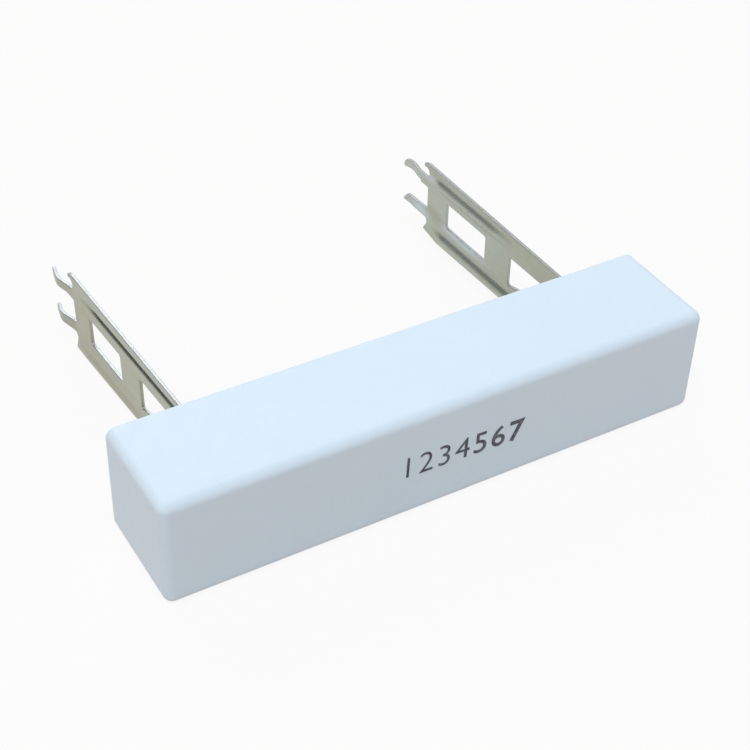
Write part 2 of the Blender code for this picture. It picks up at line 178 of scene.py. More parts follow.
caseValues = {
    "edgeRound": 0.00105,
    "edgeSteps": 12,
    "sideWall": 0.0015,
    "endWall": 0.0018,
    "floor": 0.0016,
    "pocketRound": 0.0006,
    "pocketSteps": 6,
    "rimRound": 0.00012,
    "rimSteps": 3,
    "printSink": 0.00002,  # the printed face lies this far in, so that the ink stays in the box
    "slices": 42,
    "crossSlices": 8,
    "waveDepth": 0.00003,
    "waveSize": 0.009,
    "shadeAngle": 40,  # degrees
}


def makeCase():
    values = caseValues
    low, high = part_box("ceramic_case")
    low.y += values["printSink"]
    rim = high.y
    case = addBlock("ceramicCase", low, high)
    roundEdges(lambda edge: lowestY(edge) < rim - hair, values["edgeRound"], values["edgeSteps"])
    sliceAt(between(low.x, high.x, values["slices"]), (1, 0, 0))
    sliceAt(between(low.y, high.y, values["crossSlices"]), (0, 1, 0))
    sliceAt(between(low.z, high.z, values["crossSlices"]), (0, 0, 1))
    editing(False)

    # the pocket that the cement fills runs out through the open side
    wall = Vector((values["endWall"], values["floor"] - values["printSink"], values["sideWall"]))
    pocketHigh = high - Vector((wall.x, -values["floor"], wall.z))
    pocket = addBlock("pocketCutter", low + wall, pocketHigh)
    roundEdges(lambda edge: True, values["pocketRound"], values["pocketSteps"])
    editing(False)
    cutWith(case, pocket)

    editing(True)
    atRim = lambda edge: lowestY(edge) > rim - hair and isSharp(edge)
    roundEdges(atRim, values["rimRound"], values["rimSteps"])
    editing(False)
    roughen(case, "kilnWaves", "CLOUDS", values["waveSize"], values["waveDepth"])
    finishShading(case, values["shadeAngle"])
    return case


# Brackets: u runs out of the body from the rim, v runs across the strip

stripValues = {
    "thickness": 0.0004,
    "tongueHalf": 0.0031,
    "tongueDepth": 0.00945,
    "shoulder": 0.0003,
    "bodyHalf": 0.0046,
    "forkHalf": 0.0052,
    "cornerRound": 0.0003,
    "cornerSteps": 5,
    "fork": 0.0279,  # from the rim to the edge between the prongs
    "heelLength": 0.0008,
    "heelSlope": 0.0030,
    "prongHalf": 0.00055,
    "prongLow": -0.0022,
    "prongUp": 0.00265,
    "prongStep": 0.0003,
    "prongStepLength": 0.0016,
    "prongFlare": 0.00035,
    "notchDepth": 0.0002,
    "notchRound": 0.47,  # share of the notch's width
    "tabLength": 0.0009,
    "tabWidth": 0.0007,
    "tabTip": 0.0004,
    "tabSlope": 0.0009,
    "windowHalf": 0.00175,
    "windowRound": 0.0003,
    "outerWindow": (0.01585, 0.02385),
    "innerWindow": (0.0030, 0.01115),
    "flare": 0.0005,
    "flareLength": 0.0020,
    "ribEnd": 0.0265,
    "ribRim": 0.00012,
    "ribSteps": 20,
    "ribPasses": 12,
    "ribRows": 4,
    "bendReach": 0.0006,
    "bendSteps": 8,
    "edgeSoft": 0.00007,
    "edgeSteps": 3,
    "edgeAngle": 1.0,  # radians
    "edgeTurn": 0.4,  # a face looks along an axis when its normal has more than this along it
    "shadeAngle": 40,  # degrees
}

# what differs between the two: turn about the strip in degrees, heel, prongs with their outward
# kinks, and ribs as (centre, half width, height, start, rise, fade)
sideValues = {
    "left": {
        "inward": 1,
        "twist": -0.1,
        "heelRise": 0.0001,
        "prongLength": 0.0056,
        "tipRound": 0.0003,
        "tipSlope": 0.0002,
        "stepRun": 0.0011,
        "kink": (0.0007, 0.0032),
        "kinkHeights": {"upper": 0.00056, "lower": 0.00056},
        "ribs": [
            (0.0034, 0.0006, 0.00042, 0.0010, 0.0016, 0.0060),
            (-0.0037, 0.0009, 0.0001, 0.0010, 0.0016, 0.0035),
        ],
    },
    "right": {
        "inward": -1,
        "twist": -1.1,
        "heelRise": 0.0006,
        "prongLength": 0.0054,
        "tipRound": 0.0008,
        "tipSlope": 0.0009,
        "stepRun": 0.0,
        "kink": (0.0022, 0.0038),
        "kinkHeights": {"upper": 0.0004, "lower": 0.0001},
        "ribs": [
            (0.0034, 0.00095, 0.00036, 0.0095, 0.0055, 0.0016),
            (-0.0040, 0.00100, 0.00043, 0.0010, 0.0016, 0.0024),
        ],
    },
}


def bracketPlace(side):
    # where the strip crosses the rim, and its turns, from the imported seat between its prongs
    seat = next(mount for mount in frame["record"]["mounts"] if mount["name"] == "board_seat_" + side)
    ahead = Vector(seat["axis"])
    rimPlace = Vector(seat["pos_m"]) - stripValues["fork"] * ahead
    turns = (math.asin(ahead.z), math.radians(sideValues[side]["twist"]), math.atan2(-ahead.x, ahead.y))
    return rimPlace, turns


def stripHalf(u):
    # half the width of the strip, which widens towards the fork
    values = stripValues
    return values["bodyHalf"] + (values["forkHalf"] - values["bodyHalf"]) * u / values["fork"]


def stripOutline(side):
    # (u, v, radius) round the blank: tongue, lower edge, heel, two prongs, notch, tab
    values = stripValues
    own = sideValues[side]
    corner = values["cornerRound"]
    fork = values["fork"]
    edge = values["forkHalf"]
    shoulder = values["shoulder"]
    tongue = values["tongueHalf"]
    heelEnd = fork + values["heelLength"]
    heelStart = heelEnd - values["heelSlope"]
    prong = values["prongHalf"]
    low = values["prongLow"]
    up = values["prongUp"]
    tip = fork + kinkPath(side, "upper")[3]
    lowTip = fork + kinkPath(side, "lower")[3]
    stepEnd = fork + values["prongStepLength"]
    step = up - prong - values["prongStep"]
    notch = fork - values["notchDepth"]
    tabEnd = fork + values["tabLength"]
    tabLow = edge - values["tabWidth"]
    notchRound = values["notchRound"] * (tabLow - up - prong)
    return [
        (-values["tongueDepth"], -tongue, corner),
        (shoulder, -tongue, 0),
        (shoulder, -stripHalf(shoulder), corner),
        (heelStart, -stripHalf(heelStart), corner),
        (heelEnd, own["heelRise"] - edge, corner / 2),
        (fork, low - 2 * prong, corner),
        (fork + corner, low - prong, corner),
        (lowTip, low - prong, corner / 2),
        (lowTip - own["tipSlope"], low + prong, corner),
        (fork, low + prong + values["prongFlare"], corner),
        (fork, step, corner / 2),
        (stepEnd - own["stepRun"], step, 0),
        (stepEnd, up - prong, 0),
        (tip, up - prong, corner / 2),
        (tip, up + prong, own["tipRound"]),
        (notch, up + prong, notchRound),
        (notch, tabLow, notchRound),
        (tabEnd, tabLow, 0),
        (tabEnd, tabLow + values["tabTip"], 0),
        (tabEnd - values["tabSlope"], edge, corner),
        (shoulder, stripHalf(shoulder), corner),
        (shoulder, tongue, 0),
        (-values["tongueDepth"], tongue, corner),
    ]


def drawBlank(name, outline):
    # one vertex is drawn round the outline, filled, rounded at its corners and made sheet metal
    thickness = stripValues["thickness"]
    corners = [Vector((0, u, v)) for u, v, radius in outline]
    letGo()
    bpy.ops.mesh.primitive_plane_add(size=thickness)
    blank = bpy.context.active_object
    blank.name = name
    blank.data.name = name
    editing(True)
    bpy.ops.mesh.select_mode(type="VERT")
    pickAll()
    bpy.ops.mesh.merge(type="CENTER")
    bpy.ops.transform.translate(value=corners[0])
    for last, corner in zip(corners, corners[1:]):
        bpy.ops.mesh.extrude_region_move(TRANSFORM_OT_translate={"value": corner - last})
    pickAll()
    bpy.ops.mesh.edge_face_add()
    for index, (u, v, radius) in enumerate(outline):
        if not radius:
            continue
        corner = corners[index]
        back = corners[index - 1] - corner
        ahead = corners[(index + 1) % len(corners)] - corner
        setback = radius / math.tan(back.angle(ahead) / 2)
        pick("VERT", lambda vert: (vert.co - corner).length < hair)
        bpy.ops.mesh.bevel(
            offset=setback, segments=stripValues["cornerSteps"], affect="VERTICES", clamp_overlap=False
        )
    bpy.ops.mesh.select_mode(type="FACE")
    pickAll()
    bpy.ops.mesh.extrude_region_move(TRANSFORM_OT_translate={"value": (thickness, 0, 0)})
    pickAll()
    bpy.ops.transform.translate(value=(-thickness / 2, 0, 0))
    bpy.ops.mesh.normals_make_consistent(inside=False)
    editing(False)
    return blank


def windowCutter(span, flared):
    values = stripValues
    depth = values["thickness"]
    half = values["windowHalf"]
    start, end = span
    cutter = addBlock("windowCutter", Vector((-depth, start, -half)), Vector((depth, end, half)))
    if flared:
        bend = end - values["flareLength"]
        sliceAt([bend], (0, 1, 0))
        pick("VERT", lambda vert: vert.co.y > end - hair and vert.co.z < 0)
        bpy.ops.transform.translate(value=(0, 0, -values["flare"]))
    along = lambda edge: abs(edge.verts[0].co.x - edge.verts[1].co.x) > depth
    atEnd = lambda edge: min(abs(edge.verts[0].co.y - start), abs(edge.verts[0].co.y - end)) < hair
    roundEdges(lambda edge: along(edge) and atEnd(edge), values["windowRound"], values["cornerSteps"])
    editing(False)
    return cutter


def sliceRibs(side):
    # rows and columns that let the ribs bend, kept clear of the edges that are rounded later
    values = stripValues
    for centre, half, height, start, rise, fade in sideValues[side]["ribs"]:
        way = math.copysign(1, centre)
        foot = centre - way * half
        end = values["ribEnd"]
        first = max(start - half, values["shoulder"] + 3 * values["edgeSoft"])
        last = end + half
        outside = lambda face: way * face.calc_center_median().z > way * foot
        within = lambda face: outside(face) and first < face.calc_center_median().y < last
        sliceAt([foot, foot - way * values["ribRim"]], (0, 0, 1))
        few = values["ribRows"]
        many = values["ribPasses"]
        rows = evenly(first, start, few) + evenly(start, start + rise, many)[1:]
        rows += evenly(end - fade, end, many) + evenly(end, last, few)[1:]
        sliceAt(rows, (0, 1, 0), outside)
        limit = stripHalf(start) - 2 * values["edgeSoft"]
        columns = evenly(centre - half, centre + half, values["ribSteps"])
        sliceAt([v for v in columns if abs(foot) + hair < abs(v) < limit], (0, 0, 1), within)


def pressRibs(side):
    # each rib's crest is pushed over in small steps, each shorter than the last one, and takes
    # the metal beside it along
    passes = stripValues["ribPasses"]
    inward = sideValues[side]["inward"]
    for centre, half, height, start, rise, fade in sideValues[side]["ribs"]:
        for step in range(passes):
            share = (step + 0.5) / passes
            first = start + rise * share
            last = stripValues["ribEnd"] - fade * share
            pick("VERT", lambda vert: abs(vert.co.z - centre) < hair and first < vert.co.y < last)
            drag((inward * height / passes, 0, 0), "SMOOTH", half)


def bendGain(angle):
    # a round bend of this angle brings the tip this much farther than a sharp one
    return 2 * stripValues["bendReach"] * (2 * math.tan(angle / 2) / angle - 1)


def kinkPath(side, prong):
    # the two bends' angles, and where the second bend and the tip lie in the flat blank
    own = sideValues[side]
    start, crest = own["kink"]
    height = own["kinkHeights"][prong]
    length = own["prongLength"]
    rise = math.atan(height / (crest - start))
    fall = math.atan(height / (length - crest))
    flatCrest = start + (crest - start) / math.cos(rise)
    flatTip = flatCrest + (length - crest) / math.cos(fall) - stripValues["thickness"] / 2 * math.sin(fall)
    flatTip -= bendGain(rise) + bendGain(rise + fall)
    return rise, fall, flatCrest, flatTip


def bendProngs(side):
    # the prongs are bent away from the middle of the body, from the tips inwards in small turns
    values = stripValues
    outward = -sideValues[side]["inward"]
    reach = values["bendReach"]
    half = values["prongHalf"] + values["prongFlare"] + hair
    start = sideValues[side]["kink"][0]
    root = values["fork"] + start - reach
    sliceAt([root], (0, 1, 0))
    for prong, middle in (("upper", values["prongUp"]), ("lower", values["prongLow"])):
        onProng = lambda place, least: place.y > least and abs(place.z - middle) < half
        rise, fall, flatCrest, flatTip = kinkPath(side, prong)
        for place, turn in ((flatCrest, -rise - fall), (start, rise)):
            bend = values["fork"] + place
            rows = evenly(bend - reach, bend + reach, values["bendSteps"])
            sliceAt(rows, (0, 1, 0), lambda face: onProng(face.calc_center_median(), root))
            for u in reversed(rows):
                pick("VERT", lambda vert: onProng(vert.co, u - hair))
                turnShare = outward * turn / len(rows)
                bpy.ops.transform.rotate(value=turnShare, orient_axis="Z", center_override=(0, u, 0))


def makeBracket(side):
    values = stripValues
    bracket = drawBlank(side + "Bracket", stripOutline(side))
    cutWith(bracket, windowCutter(values["outerWindow"], False))
    cutWith(bracket, windowCutter(values["innerWindow"], True))

    # only one face of the blank is pressed and bent, and then made sheet metal again
    editing(True)
    pick("FACE", lambda face: face.normal.x < values["edgeTurn"])
    bpy.ops.mesh.delete(type="FACE")
    pickAll()
    bpy.ops.transform.translate(value=(-values["thickness"] / 2, 0, 0))
    sliceRibs(side)
    pressRibs(side)
    bendProngs(side)
    pickAll()
    bpy.ops.mesh.remove_doubles(threshold=values["edgeSoft"] / 4)
    editing(False)
    shapeWith(bracket, "SOLIDIFY", thickness=values["thickness"], offset=0.0)
    editing(True)
    sheared = lambda edge: edge.calc_face_angle(0) > values["edgeAngle"]
    roundEdges(sheared, values["edgeSoft"], values["edgeSteps"])

    # the edges along the strip get a slot of their own
    pick("FACE", lambda face: abs(face.normal.x) < values["edgeTurn"] < abs(face.normal.z))
    bpy.ops.object.material_slot_add()
    bpy.ops.object.material_slot_add()
    bracket.active_material_index = 1
    bpy.ops.object.material_slot_assign()
    editing(False)

    bracket.location, bracket.rotation_euler = bracketPlace(side)
    settle()
    finishShading(bracket, values["shadeAngle"])
    return bracket


# Cement

cementValues = {
    "recess": 0.0004,
    "clear": 0.00001,
    "roundness": 0.0006,
    "roundSteps": 6,
    "slices": 96,
    "crossSlices": 18,
    "creepWidth": 0.0007,
    "creepHeight": 0.00022,
    "stripCreep": 0.0004,
    "besideStrip": 0.0004,
    "pastStrip": 0.0003,
    "lumpSize": 0.0022,
    "lumpDepth": 0.00016,
    "pitSize": 0.0006,
    "pitDepth": 0.00022,
    "bedRadius": 0.0039,
    "bedSides": 48,
    "bedEnd": 0.0003,
    "shadeAngle": 50,  # degrees
}


def stripSlot(side):
    # the room that one tongue takes in the cement
    clear = cementValues["clear"]
    half = Vector((stripValues["thickness"] / 2 + clear, 0, stripValues["tongueHalf"] + clear))
    low = -half - Vector((0, stripValues["tongueDepth"] + clear, 0))
    high = half + Vector((0, stripValues["shoulder"], 0))
    slot = addBlock("slotCutter", low, high)
    editing(False)
    slot.location, slot.rotation_euler = bracketPlace(side)
    settle()
    return slot


def elementBed():
    # the round room that the wound element lies in
    low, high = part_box("end_cap_left")
    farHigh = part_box("end_cap_right")[1]
    start = low.x - cementValues["bedEnd"]
    end = farHigh.x + cementValues["bedEnd"]
    letGo()
    bpy.ops.mesh.primitive_cylinder_add(
        vertices=cementValues["bedSides"],
        radius=cementValues["bedRadius"],
        depth=end - start,
        location=((start + end) / 2, (low.y + high.y) / 2, (low.z + high.z) / 2),
        rotation=(0, math.pi / 2, 0),
    )
    settle()
    return bpy.context.active_object


def nearStrips(vert):
    # tells whether a point of the surface is close to one of the two tongues
    reachX = stripValues["thickness"] / 2 + cementValues["besideStrip"]
    reachZ = stripValues["tongueHalf"] + cementValues["pastStrip"]
    for side in sideValues:
        spot = bracketPlace(side)[0]
        if abs(vert.co.x - spot.x) < reachX and abs(vert.co.z - spot.z) < reachZ:
            return True
    return False


def makeCement():
    values = cementValues
    low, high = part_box("ceramic_case")
    walls = (caseValues["endWall"], caseValues["floor"], caseValues["sideWall"])
    inset = Vector([wall + values["clear"] for wall in walls])
    low = low + inset
    high = Vector((high.x - inset.x, high.y - values["recess"], high.z - inset.z))
    top = high.y
    cement = addBlock("cementFill", low, high)
    roundEdges(lambda edge: lowestY(edge) < top - hair, values["roundness"], values["roundSteps"])
    sliceAt(between(low.x, high.x, values["slices"]), (1, 0, 0))
    sliceAt(between(low.z, high.z, values["crossSlices"]), (0, 0, 1))

    # the cement crept up the walls and round the strips
    onTop = lambda vert: vert.co.y > top - hair
    atWall = lambda vert: onTop(vert) and any(isSharp(edge) for edge in vert.link_edges)
    atStrips = lambda vert: onTop(vert) and nearStrips(vert)
    for test, height in ((atWall, values["creepHeight"]), (atStrips, values["stripCreep"])):
        pick("VERT", test)
        drag((0, height, 0), "SHARP", values["creepWidth"])
    pick("VERT", lambda vert: onTop(vert) and not atWall(vert))
    cement.vertex_groups.new(name="surface")
    bpy.ops.object.vertex_group_assign()
    editing(False)
    skin = {"vertex_group": "surface", "direction": "Y"}
    roughen(cement, "cementLumps", "CLOUDS", values["lumpSize"], values["lumpDepth"], **skin)
    roughen(cement, "cementPits", "VORONOI", values["pitSize"], values["pitDepth"], **skin)
    for cutter in (elementBed(), stripSlot("left"), stripSlot("right")):
        cutWith(cement, cutter)
    finishShading(cement, values["shadeAngle"])
    return cement


# Stamped digits: plain figures one after another, where the case is printed

digitValues = {
    "figures": "1234567",
    "start": (-0.0061, 0.0053),
    "end": (0.0090, 0.00495),
    "height": 0.0026,
    "weights": (-0.012, 0.018),  # the stamp pressed harder towards the last figure
    "curveSteps": 6,
    "flatAngle": 0.01,  # radians
    "film": 0.00006,
    "proud": 0.000015,
    "lean": 2.0,  # degrees
}


def makeDigits():
    values = digitValues
    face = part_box("ceramic_case")[0].y + caseValues["printSink"]
    count = len(values["figures"])
    startX, startZ = values["start"]
    endX, endZ = values["end"]
    light, heavy = values["weights"]
    stamped = []
    for index, figure in enumerate(values["figures"]):
        along = (index + 0.5) / count
        letGo()
        bpy.ops.object.text_add()
        mark = bpy.context.active_object
        mark.data.body = figure
        mark.data.align_x = "CENTER"
        mark.data.offset = light + (heavy - light) * (index / (count - 1)) ** 2
        mark.data.extrude = values["film"] / 2 / values["height"]
        mark.data.resolution_u = values["curveSteps"]
        bpy.ops.object.convert(target="MESH")
        tall = max(vert.co.y for vert in mark.data.vertices)
        mark.scale = [values["height"] / tall] * 2 + [values["height"]]
        mark.rotation_euler = (math.pi / 2, math.radians(values["lean"]), 0)
        mark.location = (
            startX + (endX - startX) * along,
            face - values["proud"] + values["film"] / 2,
            startZ + (endZ - startZ) * along,
        )
        settle()
        stamped.append(mark)
    for mark in stamped:
        mark.select_set(True)
    bpy.context.view_layer.objects.active = stamped[0]
    bpy.ops.object.join()
    digits = bpy.context.active_object
    digits.name = "stampedDigits"
    editing(True)
    pickAll()
    bpy.ops.mesh.remove_doubles(threshold=hair)
    bpy.ops.mesh.dissolve_limited(angle_limit=values["flatAngle"])
    bpy.ops.mesh.normals_make_consistent(inside=False)
    editing(False)
    return digits


brackets = {side: makeBracket(side) for side in sideValues}
print("stamped and bent the brackets")
caseShell = makeCase()
cement = makeCement()
print("made the case and the cement")
digits = makeDigits()
print("stamped the digits")


# Materials: every pattern is laid in metres on the object's own coordinates

noiseFalloff = 0.55  # how much each finer step of a noise pattern still counts
noiseBand = (0.3, 0.7)  # where most of a noise pattern's values lie


def setInputs(tree, node, inputs):
    # each input gets a link from another node, or a value, where a colour comes without its alpha
    for name, value in inputs.items():
        socket = node.inputs[name]
        if isinstance(value, bpy.types.NodeSocket):
            tree.links.new(value, socket)
        elif socket.type == "RGBA":
            socket.default_value = (*value, 1.0)
        else:
            socket.default_value = value


def addNode(tree, kind, inputs, **settings):
    node = tree.nodes.new("ShaderNode" + kind)
    for name, setting in settings.items():
        setattr(node, name, setting)
    setInputs(tree, node, inputs)
    return node


def newFinish(name, inputs):
    material = bpy.data.materials.new(name)
    material.use_nodes = True
    tree = material.node_tree
    setInputs(tree, tree.nodes["Principled BSDF"], inputs)
    return material, tree


def mapped(tree, inputs, **settings):
    # the object's own coordinates, moved, turned or scaled for one pattern
    place = addNode(tree, "TexCoord", {}).outputs["Object"]
    return addNode(tree, "Mapping", {"Vector": place, **inputs}, **settings).outputs["Vector"]


def noise(tree, scale, detail, stretch=(1, 1, 1), turn=(0, 0, 0)):
    # this many features to the metre, drawn out along an axis by stretch
    place = mapped(tree, {"Scale": [1 / part for part in stretch], "Rotation": turn})
    inputs = {"Vector": place, "Scale": scale, "Detail": detail, "Roughness": noiseFalloff}
    return addNode(tree, "TexNoise", inputs).outputs["Fac"]


def cells(tree, scale):
    # the distance from the middle of the nearest cell
    return addNode(tree, "TexVoronoi", {"Vector": mapped(tree, {}), "Scale": scale}).outputs["Distance"]


def ranged(tree, value, low, high, fromLow=noiseBand[0], fromHigh=noiseBand[1]):
    limits = {"From Min": fromLow, "From Max": fromHigh, "To Min": low, "To Max": high}
    return addNode(tree, "MapRange", {"Value": value, **limits}).outputs["Result"]


def tinted(tree, body, value, share, colour):
    # lays a colour over the body as far as the pattern says; 6, 7 and 2 are a mix node's colour sockets
    inputs = {"Factor": ranged(tree, value, *share), 6: body, 7: colour}
    return addNode(tree, "Mix", inputs, data_type="RGBA", clamp_factor=True).outputs[2]


def dressed(material, body, roughness, *bumps):
    # colour, roughness, and bumps as (height, strength, distance), the coarse ones first
    tree = material.node_tree
    relief = {}
    for height, strength, distance in bumps:
        inputs = {"Height": height, "Strength": strength, "Distance": distance, **relief}
        relief = {"Normal": addNode(tree, "Bump", inputs).outputs["Normal"]}
    inputs = {"Base Color": body, "Roughness": roughness, **relief}
    setInputs(tree, tree.nodes["Principled BSDF"], inputs)
    return material


# In every look a pattern is (features to the metre, detail), and cells have only the first. A share
# is how much colour lies at the low and the high end of a pattern, and which of its values these
# ends are, where it isn't the noise band. A bump is (strength, height).

ceramicLook = {
    "pale": (0.67, 0.74, 0.81),
    "deep": (0.645, 0.715, 0.787),
    "speck": (0.50, 0.55, 0.60),
    "blotches": (260, 4),
    "grain": (3800, 5),
    "dimples": (900, 3),
    "specks": 1500,
    "blotchShare": (0, 0.5),
    "grainShare": (0, 0.5, 0.45, 0.75),
    "speckShare": (0.45, 0, 0.04, 0.11),
    "roughness": (0.40, 0.54),
    "dimpleBump": (0.25, 0.00003),
    "grainBump": (0.30, 0.000012),
}


def firedCeramic():
    look = ceramicLook
    material, tree = newFinish("firedCeramic", {})
    grain = noise(tree, *look["grain"])
    dimples = noise(tree, *look["dimples"])
    body = tinted(tree, look["pale"], noise(tree, *look["blotches"]), look["blotchShare"], look["deep"])
    body = tinted(tree, body, grain, look["grainShare"], look["deep"])
    body = tinted(tree, body, cells(tree, look["specks"]), look["speckShare"], look["speck"])
    roughness = ranged(tree, dimples, *look["roughness"])
    return dressed(material, body, roughness, (dimples, *look["dimpleBump"]), (grain, *look["grainBump"]))


steelLook = {
    "pale": (0.455, 0.492, 0.400),
    "deep": (0.405, 0.430, 0.345),
    "warm": (0.462, 0.455, 0.360),
    # painted bluish reflection, where rib flanks, the fork and the prong roots catch the light
    "paintedBlueSheen": (0.56, 0.62, 0.65),
    # painted shade in a brownish stain tone, darkening the metal like a reflected shadow
    "stainAndPaintedShade": (0.34, 0.34, 0.25),
    "clouds": (330, 3),
    "patches": (858, 2),
    "streaks": (5200, 3),
    "grain": (8840, 3),
    "stretch": (1, 28, 1),  # the streaks run along the strip
    "cloudShare": (0, 1),
    "patchShare": (0, 0.5),
    "streakShare": (0, 0.35),
    "spotFull": 0.6,  # a spot runs from 0 at its rim to 1 in its middle, and is at full strength here
    "roughness": {"left": (0.30, 0.38), "right": (0.40, 0.50)},
    "cloudBump": (0.12, 0.00006),
    "streakBump": (0.07, 0.000006),
    "grainBump": (0.04, 0.000005),
}

# painted bluish reflections and painted shade with brownish stains, as tone, u and v on the strip, reach
# along and across it, strength
spotValues = {
    "left": [
        # painted shade over the whole strip, the lower rail and the fork, in a brownish stain tone
        ("stainAndPaintedShade", 0.0200, -0.0020, 0.0340, 0.0100, 0.45),
        ("stainAndPaintedShade", 0.0215, -0.0040, 0.0170, 0.0030, 0.75),
        ("stainAndPaintedShade", 0.0275, 0.0005, 0.0080, 0.0060, 0.4),
    ],
    "right": [
        # the bluish spots here are painted reflections: at the prong roots, the fork and along the lower
        # window edge
        ("paintedBlueSheen", 0.0288, -0.0020, 0.0026, 0.0011, 0.9),
        ("paintedBlueSheen", 0.0205, -0.0019, 0.0066, 0.0008, 0.7),
        ("paintedBlueSheen", 0.0278, 0.0034, 0.0024, 0.0009, 0.6),
        ("paintedBlueSheen", 0.0320, 0.0027, 0.0034, 0.0012, 0.4),
        ("paintedBlueSheen", 0.0315, -0.0022, 0.0030, 0.0012, 0.3),
        ("paintedBlueSheen", 0.0210, 0.0005, 0.0170, 0.0055, 0.24),
        # a brownish stain, laid darker as painted shade
        ("stainAndPaintedShade", 0.0264, -0.0014, 0.0030, 0.0014, 0.5),
    ],
}


def spotted(tree, side, body):
    # each spot is a soft round gradient, stretched along the strip; the bluish ones lay painted
    # reflections, the brownish ones painted shade with stains
    rimPlace, turns = bracketPlace(side)
    for tone, u, v, reachAlong, reachAcross, strength in spotValues[side]:
        middle = Vector((0, u, v))
        middle.rotate(Euler(turns))
        reach = (reachAlong, reachAlong, reachAcross)
        inputs = {"Location": rimPlace + middle, "Rotation": turns, "Scale": reach}
        place = mapped(tree, inputs, vector_type="TEXTURE")
        spot = addNode(tree, "TexGradient", {"Vector": place}, gradient_type="SPHERICAL")
        share = (0, strength, 0, steelLook["spotFull"])
        body = tinted(tree, body, spot.outputs["Fac"], share, steelLook[tone])
    return body


def tinnedSteel(name, side):
    # rolling streaks run along the strip, tin clouds lie over them, and spots of painted reflection and
    # painted shade lie on top
    look = steelLook
    material, tree = newFinish(name, {"Metallic": 1.0})
    turns = bracketPlace(side)[1]
    clouds = noise(tree, *look["clouds"])
    streaks = noise(tree, *look["streaks"], look["stretch"], (0, 0, -turns[2]))
    grain = noise(tree, *look["grain"])
    body = tinted(tree, look["pale"], clouds, look["cloudShare"], look["warm"])
    body = tinted(tree, body, noise(tree, *look["patches"]), look["patchShare"], look["deep"])
    body = tinted(tree, body, streaks, look["streakShare"], look["deep"])
    body = spotted(tree, side, body)
    roughness = ranged(tree, streaks, *look["roughness"][side])
    bumps = [(clouds, *look["cloudBump"]), (streaks, *look["streakBump"]), (grain, *look["grainBump"])]
    return dressed(material, body, roughness, *bumps)


# edge colours per side as pale and deep: the left pair is a painted highlight, the right pair painted
# shade
cutEdgePaintedLight = {
    "left": ((0.50, 0.54, 0.58), (0.45, 0.48, 0.52)),
    "right": ((0.39, 0.42, 0.45), (0.33, 0.36, 0.38)),
    "streaks": (2600, 2),
    "streakShare": (0, 1),
    "roughness": (0.36, 0.46),
}


def cutSteelPaintedLight(name, side):
    # the sheared edges along the strip, in a colour per side that is painted light: paler and bluer on the
    # left as a painted highlight, darker on the right as painted shade
    look = cutEdgePaintedLight
    material, tree = newFinish(name, {"Metallic": 1.0})
    pale, deep = look[side]
    streaks = noise(tree, *look["streaks"])
    body = tinted(tree, pale, streaks, look["streakShare"], deep)
    return dressed(material, body, ranged(tree, streaks, *look["roughness"]))


cementLook = {
    "pale": (0.66, 0.66, 0.63),
    "deep": (0.47, 0.47, 0.44),
    "sand": (0.74, 0.73, 0.69),
    "clouds": (420, 5),
    "sandGrain": (2600, 6),
    "pores": 1400,
    "cloudShare": (0, 0.8),
    "sandShare": (0, 0.7, 0.45, 0.7),
    "poreShare": (0.7, 0, 0.05, 0.16),
    "roughness": (0.82, 0.97),
    "cloudBump": (0.3, 0.0001),
    "poreBump": (0.35, 0.00006),
    "sandBump": (0.5, 0.00003),
}


def pouredCement():
    look = cementLook
    material, tree = newFinish("pouredCement", {})
    clouds = noise(tree, *look["clouds"])
    sand = noise(tree, *look["sandGrain"])
    pores = cells(tree, look["pores"])
    body = tinted(tree, look["pale"], clouds, look["cloudShare"], look["deep"])
    body = tinted(tree, body, sand, look["sandShare"], look["sand"])
    body = tinted(tree, body, pores, look["poreShare"], look["deep"])
    roughness = ranged(tree, sand, *look["roughness"])
    bumps = [(clouds, *look["cloudBump"]), (pores, *look["poreBump"]), (sand, *look["sandBump"])]
    return dressed(material, body, roughness, *bumps)


inkLook = {
    "dark": (0.060, 0.057, 0.072),
    "thin": (0.16, 0.165, 0.19),
    "mottle": (2300, 4),
    "fade": (620, 2),
    "mottleShare": (0, 1, 0.48, 0.68),
    "fadeShare": (0, 0.6, 0.5, 0.75),
    "roughness": (0.62, 0.8),
    "mottleBump": (0.3, 0.00001),
}


def stampInk():
    look = inkLook
    material, tree = newFinish("stampInk", {})
    mottle = noise(tree, *look["mottle"])
    body = tinted(tree, look["dark"], mottle, look["mottleShare"], look["thin"])
    body = tinted(tree, body, noise(tree, *look["fade"]), look["fadeShare"], look["thin"])
    return dressed(material, body, ranged(tree, mottle, *look["roughness"]), (mottle, *look["mottleBump"]))


# the sealed pieces: a grain in two tones, drawn out where the piece was drawn or turned
sealedLook = {
    "core": {
        "pale": (0.74, 0.71, 0.65),
        "deep": (0.62, 0.58, 0.52),
        "metallic": 0.0,
        "roughness": (0.55, 0.72),
        "grain": (2600, 4),
        "stretch": (1, 1, 1),
    },
    "wire": {
        "pale": (0.48, 0.45, 0.40),
        "deep": (0.33, 0.30, 0.27),
        "metallic": 1.0,
        "roughness": (0.30, 0.46),
        "grain": (6000, 4),
        "stretch": (3, 1, 1),
    },
    "cap": {
        "pale": (0.60, 0.60, 0.59),
        "deep": (0.47, 0.47, 0.46),
        "metallic": 1.0,
        "roughness": (0.24, 0.38),
        "grain": (4200, 4),
        "stretch": (12, 1, 1),
    },
    "cloudSpan": 9,  # a cloud is this many times as wide as the grain
    "cloudDetail": 3,
    "grainShare": (0, 0.7),
    "cloudShare": (0, 0.4),
    "cloudBump": (0.2, 0.00004),
    "grainBump": (0.25, 0.00001),
}


